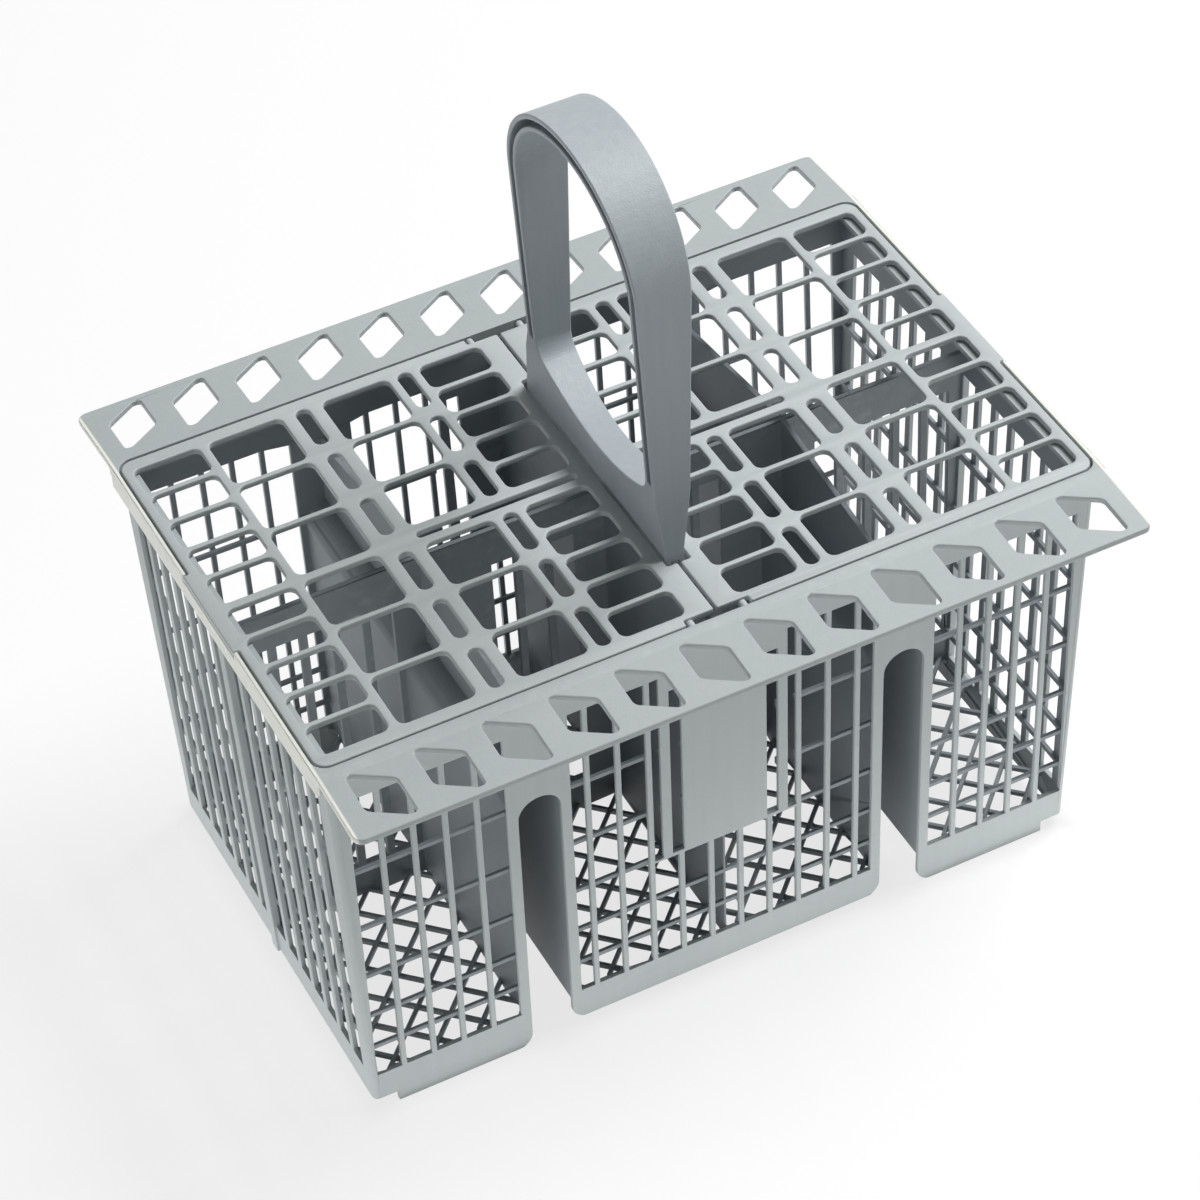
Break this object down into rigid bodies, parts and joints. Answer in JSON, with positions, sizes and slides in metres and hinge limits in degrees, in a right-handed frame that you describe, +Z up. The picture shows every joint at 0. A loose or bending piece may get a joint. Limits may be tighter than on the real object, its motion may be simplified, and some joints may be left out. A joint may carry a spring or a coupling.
{
  "type": "dishwasher cutlery basket",
  "caption": "Tapered lattice basket with flanged rim, arched rack channels, hinged grille lids and a strap carry handle, for holding cutlery in a dishwasher.",
  "frame": {"origin": "middle of the surface that the basket stands on, under the crossing of its two partitions", "axes": "+X along the basket's length, +Y from the front wall to the back wall, +Z up"},
  "size_m": [0.24, 0.191, 0.2625],
  "materials": {
    "basket_plastic": "moulded, fine satin",
    "lid_plastic": "moulded, fine satin",
    "handle_plastic": "moulded, fine satin"
  },
  "bodies": {
    "tub": {"basket": "basket_plastic", "carry_handle": "handle_plastic"},
    "left_lid": {"left_lid": "lid_plastic"},
    "right_lid": {"right_lid": "lid_plastic"}
  },
  "joints": [
    {"name": "left_lid_hinge", "type": "hinge", "parent": "tub", "child": "left_lid", "pos_m": [-0.008, 0, 0.1401], "axis": [0, 1, 0], "range_deg": [0, 85]},
    {"name": "right_lid_hinge", "type": "hinge", "parent": "tub", "child": "right_lid", "pos_m": [0.008, 0, 0.1401], "axis": [0, -1, 0], "range_deg": [0, 85]}
  ]
}
